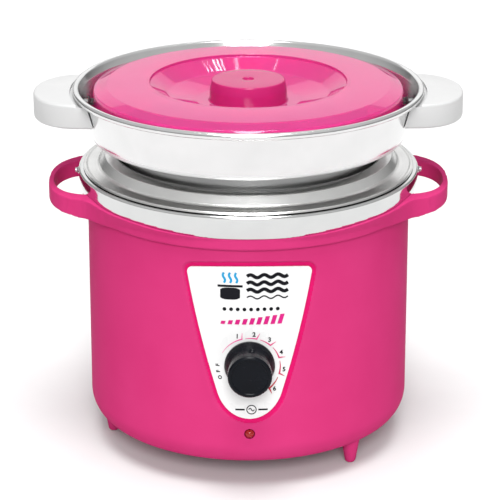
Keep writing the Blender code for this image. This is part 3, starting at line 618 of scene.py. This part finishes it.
def make_handle_ring():
    box, collar = NODES["handle_ring"], NODES["collar"]
    ring_top = collar.base - 0.15
    line = rounded([(RING_INSIDE, ring_top), (RING_INSIDE, box.base), (RING_INSIDE + 0.4, box.base),
                    (RING_OUTSIDE - 0.2, box.base + 1.0, 0.6), (RING_OUTSIDE, ring_top, 0.6)])
    ring = turned("ring_with_loops", line, PINK)
    straps = [solid("strap", *strap(side), None) for side in (-1, 1)]
    fuse(ring, straps)
    low, high = box.base - 2, box.top + 2
    clear = [(80, low), (RING_INSIDE, low), (RING_INSIDE, ring_top - 0.3), (91.9, ring_top - 0.1),
             (92.0, collar.base), (93.1, collar.base + 3.1), (93.5, collar.base + 6.1), (93.5, high),
             (80, high)]
    trim(ring, clear)
    mount(ring, "base", "handle_ring")


def fuse(piece, others):
    """Melts overlapping closed shapes into one skin with soft inner corners."""
    shaper = bmesh.new()
    for source in [piece] + others:
        shaper.from_mesh(source.data)
    shaper.to_mesh(piece.data)
    shaper.free()
    for other in others:
        bpy.data.objects.remove(other)
    melt = piece.modifiers.new("melt", "REMESH")
    melt.mode = "VOXEL"
    melt.voxel_size = 0.5 * MM
    soft = piece.modifiers.new("soft", "SMOOTH")
    soft.factor = 0.5
    soft.iterations = 5
    settle(piece)


# -------------------- metal rings and pan

def make_collar():
    box = NODES["collar"]
    r, top, low, t = box.radius, box.top, box.base, 0.8
    line = rounded([(r - 1.5, low), (r - 0.4, low + 3.1, 5), (r, low + 6.1, 8), (r - 0.08, top - 0.8, 0.6),
                    (r - 0.8, top, 0.5), (r - 3.4, top - 0.05, 1), (80, top - 0.1), (80, top - t),
                    (r - 1.6, top - t, 0.4), (r - 0.9, top - 2, 1), (r - 0.8, low + 6), (r - 1.1, low + 3),
                    (r - 2.3, low)])
    collar = turned("collar_band", line, CHROME, "base", slot="chrome")
    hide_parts("collar")


def make_well():
    """The inside from the floor up, the flange outwards and back, then the outside of the floor."""
    box = NODES["heated_well"]
    floor, r = box.base + 1.2, box.radius
    inner = [(0, floor), (65, floor), *arc((65, floor + 5), 5, -70, 0), (72.6, 162.6)]
    flange = rounded([
        (72.6, 162.6), (73.2, 164.3, 0.8), (74.6, 164.8, 1.0), (79.0, 163.0, 1.6), (81.8, 158.6, 1.6),
        (83.2, 157.5, 2), (88.3, 157.0, 0.8), (89.3, 157.9, 0.6), (r - 0.4, 157.5, 0.5), (r, 156.5),
        (86.6, 156.4), (81.4, 157.2), (78.2, 162.1), (75.4, 163.1, 0.8), (73.8, 162.4)])[1:]
    outer = [*arc((65, floor + 5), 6.2, 0, -90), (0, box.base)]
    well = turned("heated_well_skin", inner + flange + outer, SATIN, "base", slot="aluminium")
    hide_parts("heated_well")


def make_pan():
    """The outside from the floor up, the rolled rim, then the inside down again."""
    box = NODES["wax_pan"]
    low, bead = box.base, 1.85
    bead_r, bead_z = box.radius - bead, box.top - bead
    step = 173.4
    outer = [(0, low), (63.0, low, 4), (67.4, low + 4.4, 5), (71.2, 160.0, 20), (71.4, step, 0.8),
             (84.9, step, 0.3), (85.75, 174.3, 0.3), (86.9, 178.0, 12), (88.9, 186.0), (91.6, 196.6, 1.0),
             (92.6, 197.4)]
    rim = arc((bead_r, bead_z), bead, -115, 165)
    inner = [(90.9, 197.2, 0.8), (90.6, 196.6), (87.9, 186.0), (85.9, 178.0, 6), (84.9, 174.6, 0.8),
             (70.4, 174.4, 1), (70.2, 160.0, 20), (66.5, low + 4.6, 4), (62.6, low + 1, 3), (0, low + 1)]
    line = rounded(outer + rim + inner)
    pan = turned("pan_shell", line, BRIGHT, "pan", slot="aluminium")
    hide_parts("wax_pan")


def make_pan_handles():
    centre, half = 89.6, 32.0
    wall = [(87.3, 178.0), (89.3, 186.0), (92.0, 196.6)]     # the outside of the pan, with a thin gap
    for name, side in (("left", -1), ("right", 1)):
        box = NODES["pan_handle_" + name]
        reach = abs(box.high.x if side > 0 else box.low.x) - centre
        curve = oval(centre, reach, half, 2.2, -90, 90, 72) + [(76, half), (76, -half)]
        points, faces = prism_shape([(side * x, y) for x, y in curve], box.base, box.top)
        handle = solid("handle_grip_" + name, points, faces, WHITE)
        edge = handle.modifiers.new("edge", "BEVEL")
        edge.width, edge.segments, edge.limit_method = 1.5 * MM, 5, "ANGLE"
        settle(handle)
        clear = [(0, 178)] + wall + [(97.4, 196.6), (97.4, 202), (0, 202)]
        trim(handle, clear)
        mount(handle, "pan", "pan_handle_" + name)


def make_lid():
    """The top from the knob's dimple outwards, down and up the skirt, then the underside back."""
    box = NODES["lid"]
    r, knob, skirt, t = box.radius, box.top, box.base, 1.7
    dish, crest, fold, edge = knob - 12.1, knob - 0.6, knob - 1.9, knob - 4.3
    knob_r = 21.6
    line = rounded([
        (0, knob - 1.3), (2.6, knob - 1.3, 0.4), (3.2, knob, 0.4), (19.8, knob, 0.9), (21.0, knob - 5, 8),
        (21.3, dish, 0.8), (28.0, dish + 0.5, 12), (44.0, crest - 7.4, 5),
        (45.2, crest - 6.66), (52.6, crest - 2.1), (53.5, crest - 1.54, 0.4), (53.8, crest, 0.4),
        (77.4, fold, 1.2), (r - 0.6, edge, 0.7), (r, edge - 1.8, 0.8), (r - 0.5, skirt, 0.5),
        (r - 0.5 - t, skirt, 0.5),
        (r - 0.2 - t, edge - t - 0.4, 1.0), (76.8, fold - t, 1.0), (55.6, crest - t - 0.2, 1.0),
        (44.8, crest - 7.4 - t, 6), (28.0, dish + 0.5 - t, 12), (19.6, dish - t, 0.8),
        (18.7, knob - 2.2, 1.0), (0, knob - 2.9)])
    lid = turned("lid_shell", line, CLEAR, "lid", slot="clear_pink_plastic")
    lid.data.materials.append(CLEAR_KNOB)
    for face in lid.data.polygons:
        if face.center.xy.length < knob_r * MM and face.center.z > (dish + 0.6) * MM:
            face.material_index = 1
    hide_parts("lid")


# -------------------- controls

def make_plate():
    points, faces = [], []
    heights, columns = plate_heights(), 24
    stride = columns + 1
    for radius in (PLATE_FRONT - PLATE_THICKNESS, PLATE_FRONT):
        for height in heights:
            half = max(plate_half_width(height), 0.6)
            for column in range(columns + 1):
                across = half * (2 * column / columns - 1)
                points.append(around(radius, math.degrees(across / PLATE_FRONT), height))
    rows = len(heights) - 1
    back = (rows + 1) * stride
    for row in range(rows):
        for column in range(columns):
            a = row * stride + column
            faces.append((a, a + 1, a + stride + 1, a + stride))
            faces.append((back + a, back + a + stride, back + a + stride + 1, back + a + 1))
    edge = [(0, column) for column in range(columns)] + [(row, columns) for row in range(rows)]
    edge += [(rows, column) for column in range(columns, 0, -1)] + [(row, 0) for row in range(rows, 0, -1)]
    for here, after in zip(edge, edge[1:] + edge[:1]):
        a, b = here[0] * stride + here[1], after[0] * stride + after[1]
        faces.append((a, b, back + b, back + a))
    plate = solid("panel_plate", points, faces, PLATE, "base", slot="panel_white")
    cut(plate, bore(DIAL_BORE, DIAL_Z))
    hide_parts("control_plate")


def make_knob():
    """A knob with a skirt, a waist, a flat cap and a bore for the shaft, drawn from its back to its front."""
    box = NODES["control_knob"]
    back, long = -box.high.y, box.high.y - box.low.y
    skirt, cap = box.radius, 11.6
    line = rounded([(10.4, 0), (skirt - 0.2, 0, 0.3), (skirt, 2.0, 0.8), (12.4, 4.2, 3), (10.9, 7.0, 4),
                    (10.5, 9.6, 4), (10.9, 11.2, 1.2), (cap, 12.2, 0.7), (cap, long - 0.9, 0.6),
                    (cap - 0.9, long, 0.5), (9.7, long, 0.3), (9.3, long - 0.5, 0.3), (0, long - 0.5),
                    (0, 14.6), (3.3, 14.6), (3.3, 6.2), (10.4, 6.2)])
    knob = turned("dial_knob", line, BLACK, sides=96, place=(0, -back, DIAL_Z), turn=(90, 0, 0))
    tilt = 6.0                # the notch points a little clockwise of straight up at rest
    angle = math.radians(tilt)
    reach, along, radius = 12.4, 8.4, 2.6
    notch = turned_shape([(0, -radius), *arc((0, 0), radius, -78, 78), (0, radius)], 32)
    mark = (reach * math.sin(angle), -back - along, DIAL_Z + reach * math.cos(angle))
    cut(knob, (*notch, mark, (0, tilt, 0)))
    mount(knob, "knob", "control_knob")


def make_lamp():
    box = NODES["pilot_lens"]
    tip, back = -box.low.y, -box.high.y
    line = rounded([(0, back), (4, back), (4, back + 1), (2.5, back + 1), (2.5, tip - 1.5, 0.8),
                    (1.4, tip - 0.25, 1.0), (0, tip)])
    lens = turned("lamp_lens", line, LENS, "base", SMALL, place=(0, 0, box.middle.z), turn=(90, 0, 0),
                  slot="lamp_red")
    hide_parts("pilot_lens")


# -------------------- printed panel marks

MARK_R = 16.3                 # the printed scale's radius and, below, its own centre
MARK_Z = DIAL_Z - 1.6
ARC_STARTS = (-61.5, -8.1, 19.6, 48.5, 79.4, 112.7)      # degrees clockwise from the top, as for the next two
TICKS = (-14.5, 13.0, 42.0, 72.5, 105.0, 140.0)
NUMBERS = (-20.7, 7.3, 34.8, 65.3, 96.9, 134.4)
DOTS_Z = 103.7
BARS_Z = 95.2
MAINS_Z = 46.5


def scale_colour(share):
    """Magenta at the low settings to dark red at the hottest."""
    cool, hot = Vector((0.62, 0.045, 0.24)), Vector((0.36, 0.004, 0.018))
    return tuple(cool.lerp(hot, share))


def polar(angle, radius):
    """A point of the flat drawing at a clockwise angle round the scale's centre."""
    turn = math.radians(angle)
    return (radius * math.sin(turn), MARK_Z + radius * math.cos(turn))


def printed(name, outlines, finish):
    """Flat outlines of (across, height) printed on the plate, as one piece of thin raised ink."""
    points, faces = [], []
    for outline in outlines:
        corners, sides = prism_shape(outline, -SUNK, SKIN)
        faces += [[len(points) + corner for corner in side] for side in sides]
        points += [wrap(*corner) for corner in corners]
    return solid(name, points, faces, finish, "base")


def band(line, widths):
    """A stroke's outline from its middle line and its width at each point."""
    left, right = [], []
    for index, (point, width) in enumerate(zip(line, widths)):
        before, after = line[max(index - 1, 0)], line[min(index + 1, len(line) - 1)]
        run = Vector((after[0] - before[0], after[1] - before[1])).normalized()
        side = Vector((-run.y, run.x)) * (width / 2)
        left.append((point[0] + side.x, point[1] + side.y))
        right.append((point[0] - side.x, point[1] - side.y))
    return left + right[::-1]


def pieces_of(line, widths):
    """A stroke cut into short four-sided outlines, which stay clean when they are laid round the plate."""
    whole = band(line, widths)
    last = len(whole) - 1
    return [(whole[k], whole[k + 1], whole[last - 1 - k], whole[last - k]) for k in range(len(line) - 1)]


def make_scale():
    for number, (start, end) in enumerate(zip(ARC_STARTS, TICKS), 1):
        share = (number - 1) / 5
        dark = scale_colour(share)
        light = tuple(Vector(dark) * 1.1)
        finish = moulded(f"print_scale_{number}", dark, light, (0.3, 0.4), depth=0.002)
        steps = 12
        angles = [start + (end - start) * k / steps for k in range(steps + 1)]
        swell = [(0.25 + 0.55 * k / steps) * (0.75 + 0.5 * share) for k in range(steps + 1)]
        sweep = pieces_of([polar(a, MARK_R) for a in angles], swell)
        tick = [polar(end, MARK_R - 0.3), polar(end + 1.5, MARK_R + 1.6), polar(end + 3.0, MARK_R + 3.4)]
        sweep += pieces_of(tick, [swell[-1], swell[-1] * 0.7, 0.15])
        printed(f"print_scale_{number}", sweep, finish)


def lettering(name, text, size, across, height, tilt):
    """Plain figures or letters laid on the plate, centred at a point and tilted clockwise."""
    curve = bpy.data.curves.new(name, "FONT")
    curve.body = text
    curve.size = size
    curve.align_x, curve.align_y = "CENTER", "CENTER"
    curve.offset = 0.11
    curve.extrude = SKIN
    curve.resolution_u = 4
    shape = bpy.data.objects.new(name, curve)
    bpy.context.scene.collection.objects.link(shape)
    mesh = shown_mesh(shape)
    bpy.data.objects.remove(shape)
    turn = math.radians(-tilt)
    points = []
    for vertex in mesh.vertices:
        x, y, lift = vertex.co
        points.append(wrap(across + x * math.cos(turn) - y * math.sin(turn),
                           height + x * math.sin(turn) + y * math.cos(turn), lift / 2 + 0.03))
    faces = [list(face.vertices) for face in mesh.polygons]
    bpy.data.meshes.remove(mesh)
    made = solid(name, points, faces, INK, "base")
    shaper = bmesh.new()
    shaper.from_mesh(made.data)
    bmesh.ops.remove_doubles(shaper, verts=shaper.verts, dist=1e-6)
    bmesh.ops.recalc_face_normals(shaper, faces=shaper.faces)
    shaper.to_mesh(made.data)
    shaper.free()


def stroke(line, width):
    return pieces_of(line, [width] * len(line))


def circle(across, height, radius, step, end=360):
    angles = [math.radians(a) for a in range(0, end, step)]
    return [(across + radius * math.cos(a), height + radius * math.sin(a)) for a in angles]


def wave(start, end, height, rise, count, tall=False):
    """A wavy line from start to end across the plate, or upwards where tall."""
    steps = 12 * count
    line = []
    for step in range(steps + 1):
        along = start + (end - start) * step / steps
        swing = rise * math.sin(2 * math.pi * count * step / steps)
        line.append((height + swing, along) if tall else (along, height + swing))
    return line


def make_pictures():
    """Plain pictures without any name: a warm pot, flowing wax, dots, a ramp of bars and a mains wave."""
    pot_mid, pot_z = -10.2, 112.4
    widths = (4.6, 5.8, 6.4, 6.6, 6.6, 6.6, 6.6, 6.4, 5.8, 4.6)
    body = [(pot_mid - 5.2 + 10.4 * k / (len(widths) - 1), pot_z) for k in range(len(widths))]
    rim = [(pot_mid - 6.6 + 13.2 * k / 8, pot_z + 4.2) for k in range(9)]
    flow = []
    for height, width in ((122.2, 1.9), (118.2, 1.9), (114.2, 1.9), (110.4, 0.7)):
        flow += stroke(wave(-1.4, 20.2, height, 0.8, 3), width)
    printed("print_pot", pieces_of(body, widths) + stroke(rim, 1.2) + flow, INK)
    steam = [stroke(wave(pot_z + 6.0, 124.0, pot_mid + 3.2 * k, 0.6, 1, True), 1.2) for k in (-1, 0, 1)]
    printed("print_steam", sum(steam, []), BLUE_INK)
    printed("print_dots", [circle(u, DOTS_Z, 1.0, 18) for u in np.arange(-13.2, 15.3, 3.5)], INK)
    bars = []
    for step in range(9):
        left, tall = -15.4 + 3.75 * step, 1.8 + 0.45 * step
        lean, top = 0.3 * tall, BARS_Z + tall
        bars.append([(left, BARS_Z), (left + 2.3, BARS_Z), (left + 2.3 + lean, top), (left + lean, top)])
    printed("print_bars", bars, MAGENTA_INK)
    mains = stroke(circle(1.0, MAINS_Z, 2.5, 15, 361), 0.5) + stroke(wave(-0.5, 2.5, MAINS_Z, 0.8, 1), 0.5)
    for dash in ((-7.6, -4.8, -2.6), (4.6, 6.8, 9.6)):
        mains += stroke([(u, MAINS_Z) for u in dash], 0.9)
    printed("print_mains", mains, INK)


def make_print():
    make_scale()
    make_pictures()
    for number, angle in enumerate(NUMBERS, 1):
        across, height = polar(angle, MARK_R + 2.2)
        lettering(f"print_number_{number}", str(number), 3.4, across, height, 0)
    for letter, angle in zip(("O", "F", "F"), (-112, -100, -88)):
        across, height = polar(angle, MARK_R + 0.6)
        lettering(f"print_off_{-angle}", letter, 2.7, across, height, angle)


# -------------------- fasteners, feet and underside

HEAD_RISE = 0.66              # a screw head's height for a head radius of one


def screw_shape(head, shank, length):
    """A screw's line in (radius, height), with the underside of its domed head at height 0."""
    dome = arc((0, -head * 0.55), head * 1.16, 28, 90)
    return [(0, -length), (shank, -length + shank), (shank, 0), (head, 0), (head, 0.06 * head)] + dome


def make_screw(name, node, head, shank, length, place, turn, body, finish=STEEL):
    """A domed screw with a cross recess, its head's underside at place and its shank along its own -Z."""
    screw = turned(name, screw_shape(head, shank, length), finish, sides=40, place=place, turn=turn)
    long, short, deep = 1.25 * head, 0.24 * head, 0.7 * head
    lift = Vector((0, 0, 0.62 * head))
    lift.rotate(screw.rotation_euler)
    spot = tuple(Vector(place) + lift)
    cut(screw, (*cuboid(long, short, deep), spot, turn), (*cuboid(short, long, deep), spot, turn))
    mount(screw, body, node)


def make_fasteners():
    for name, side in (("right", 1), ("left", -1)):
        collar, handle = NODES["collar_screw_" + name], NODES["handle_screw_" + name]
        head = 2.1
        out = max(abs(collar.low.x), abs(collar.high.x)) - HEAD_RISE * head
        make_screw("collar_fixing_" + name, "collar_screw_" + name, head, 1.25, 9.0,
                   (side * out, 0, collar.middle.z), (0, side * 90, 0), "base")
        head = 3.0
        inner = min(abs(handle.low.x), abs(handle.high.x)) + HEAD_RISE * head
        make_screw("handle_fixing_" + name, "handle_screw_" + name, head, 1.7, 14.0,
                   (side * inner, 0, handle.middle.z), (0, -side * 90, 0), "pan", DULL_STEEL)
    for number in (1, 2, 3):
        base, head = NODES[f"base_screw_{number}"], 3.0
        make_screw(f"base_fixing_{number}", f"base_screw_{number}", head, 1.5, 8.5,
                   (base.middle.x, base.middle.y, base.base + HEAD_RISE * head), (180, 0, 0), "base")


def make_feet():
    """Tapered feet that reach up into the housing's rounded bottom edge."""
    for number in (1, 2, 3):
        box = NODES[f"foot_{number}"]
        root = box.top + 2.0
        line = rounded([(0, 0), (2.3, 0, 0.2), (2.95, 0.9, 1.2), (5.0, box.top, 2), (5.2, root), (1.8, root),
                        (1.8, 3), (0, 3)])
        foot = turned(f"foot_peg_{number}", line, PINK, "base", SMALL,
                      place=(box.middle.x, box.middle.y, 0), slot="pink_plastic")
        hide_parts(f"foot_{number}")


def make_underside():
    box = NODES["base_plate"]
    r, low, top = box.radius, box.base, box.top
    line = rounded([(2.5, low), (9, low), (10, low + 0.3), (r, low, 0.4), (r, top, 0.4), (2.5, top)])
    plate = turned("base_cover", line, STEEL, sides=128)
    holes = []
    for radius, count in ((27, 6), (45, 12)):
        for step in range(count):
            holes.append((*bar(3.0, 8, 24), around(radius, 360 * (step + 0.5) / count, low - 3), (0, 0, 0)))
    cut(plate, *holes)
    mount(plate, "base", "base_plate")


def make_gland():
    box = NODES["cord_gland"]
    out = box.high.y
    wall = NODES["housing"].radius + 0.3
    grip_r = 7.9
    line = rounded([(1.9, 80), (4.8, 80), (4.8, wall), (8, wall, 0.4), (8, wall + 3, 0.6),
                    (6.6, wall + 4.2, 0.8), (5.4, out - 0.8, 0.6), (4.4, out, 0.4), (2.3, out, 0.4),
                    (1.9, out - 0.6)])
    gland = turned("gland_body", line, BLACK, sides=SMALL, place=(0, 0, box.middle.z), turn=(-90, 0, 0))
    grooves = []
    for step in range(8):
        angle = math.radians(45 * step + 22.5)
        spot = (grip_r * math.cos(angle), wall + 0.3, box.middle.z + grip_r * math.sin(angle))
        grooves.append((*bar(0.7, 8, 12), spot, (-90, 0, 0)))
    cut(gland, *grooves)
    mount(gland, "base", "cord_gland")


def dress_cad_nodes():
    """Materials of the inner CAD parts, which stay as they are."""
    for name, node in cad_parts.items():
        finish = CAD_FINISHES.get(name, STEEL)
        if name.startswith("wire_"):
            finish = BLUE_LEAD if "neutral" in name or "from" in name else RED_LEAD
        node.data.materials.clear()
        node.data.materials.append(finish)


# -------------------- studio

def aim(name, data, place, direction):
    """Stands a lamp or a camera at a place, in metres, and turns it to a direction."""
    made = bpy.data.objects.new(name, data)
    bpy.context.scene.collection.objects.link(made)
    made.location = place
    made.rotation_euler = direction.to_track_quat("-Z", "Y").to_euler()
    return made


def area(name, size, power, place, target):
    lamp = bpy.data.lights.new(name, "AREA")
    lamp.shape = "RECTANGLE"
    lamp.size, lamp.size_y = size
    lamp.energy = power
    aim(name, lamp, place, Vector(target) - Vector(place))


def sun(name, strength, softness, place):
    """Even light from the direction of a place, from a disc as wide as the softness in degrees."""
    lamp = bpy.data.lights.new(name, "SUN")
    lamp.energy = strength
    lamp.angle = math.radians(softness)
    aim(name, lamp, place, -Vector(place))


# Small lamps overhead, each for one thin streak on the wall of the lid's dish: its bearing from the back, the
# lamp's width in metres and its glow.
GLINTS = (
    (7.5, 0.045, 9), (16.5, 0.022, 26), (19.0, 0.025, 30), (21.5, 0.030, 30), (25.5, 0.018, 26),
    (28.0, 0.018, 26), (-17.5, 0.030, 12))
WALL_SLOPE = 31.7             # degrees that the dish wall leans
WALL_R = 49.0                 # the middle of that wall: radius and height
WALL_Z = 198.8
LOOK = 15.4                   # degrees above level from which the streaks are meant to be seen
REACH = 1600                  # from the wall to a lamp


def glint(name, bearing, width, glow):
    """A small lamp that the wall of the lid's dish mirrors to the front, where it has the given bearing."""
    spot = Vector(around(WALL_R, 180 + bearing, WALL_Z))
    inward = -spot.xy.normalized() * math.sin(math.radians(WALL_SLOPE))
    normal = Vector((*inward, math.cos(math.radians(WALL_SLOPE))))
    front = Vector((0, -math.cos(math.radians(LOOK)), math.sin(math.radians(LOOK))))
    away = 2 * normal.dot(front) * normal - front
    home = Vector((0, AXIS_Y, 0))
    power = glow * math.pi * width * width
    area(name, (width, width), power, (spot + away * REACH) * MM + home, spot * MM + home)


FLOOR_HALF = 4000
FLOOR_Z = -0.5


def make_studio():
    scene = bpy.context.scene
    scene.view_settings.view_transform = "Standard"
    world = bpy.data.worlds.new("studio")
    scene.world = world
    world.use_nodes = True
    tree = world.node_tree
    sky = tree.nodes["Background"]
    place = tree.nodes.new("ShaderNodeTexCoord")
    parts = tree.nodes.new("ShaderNodeSeparateXYZ")
    tree.links.new(place.outputs["Generated"], parts.inputs["Vector"])
    ramp = tree.nodes.new("ShaderNodeValToRGB")
    tree.links.new(parts.outputs["Z"], ramp.inputs["Fac"])
    tree.links.new(ramp.outputs["Color"], sky.inputs["Color"])
    ramp.color_ramp.elements[1].position = 0.8
    ramp.color_ramp.elements.new(0.3)
    for element, shade in zip(ramp.color_ramp.elements, (0.12, 0.60, 0.85)):
        element.color = (*grey(shade), 1)
    sky.inputs["Strength"].default_value = 0.8

    paper = moulded("floor_white", grey(0.58), grey(0.59), (0.8, 0.9), Specular_IOR_Level=0.0)
    corners = [(x * FLOOR_HALF, y * FLOOR_HALF, FLOOR_Z) for x, y in ((-1, -1), (1, -1), (1, 1), (-1, 1))]
    solid("floor", corners, [(0, 1, 2, 3)], paper)
    sun("key", 2.6, 24, (0, -1.7, 1.0))
    sun("top", 2.9, 30, (0, -0.36, 1.7))
    area("back", (5.0, 2.2), 22, (0, 4.0, 1.5), (0, 0, 0.15))
    for index, (bearing, width, glow) in enumerate(GLINTS):
        glint(f"glint_{index}", bearing, width, glow)


def make_camera():
    target = Vector((0.0009, AXIS_Y, 0.1044))
    rise, turn, distance = math.radians(20.04), math.radians(-0.45), 1.232
    lens = bpy.data.cameras.new("camera")
    lens.sensor_width, lens.lens = 36.0, 158.4
    lens.clip_end = 50
    back = Vector((math.cos(rise) * math.sin(turn), -math.cos(rise) * math.cos(turn), math.sin(rise)))
    bpy.context.scene.camera = aim("camera", lens, target + back * distance, -back)


# -------------------- the whole object

make_camera()
make_housing()
make_handle_ring()
make_collar()
make_well()
make_pan()
make_pan_handles()
make_lid()
make_plate()
make_print()
make_knob()
make_lamp()
make_fasteners()
make_feet()
make_underside()
make_gland()
dress_cad_nodes()
make_studio()
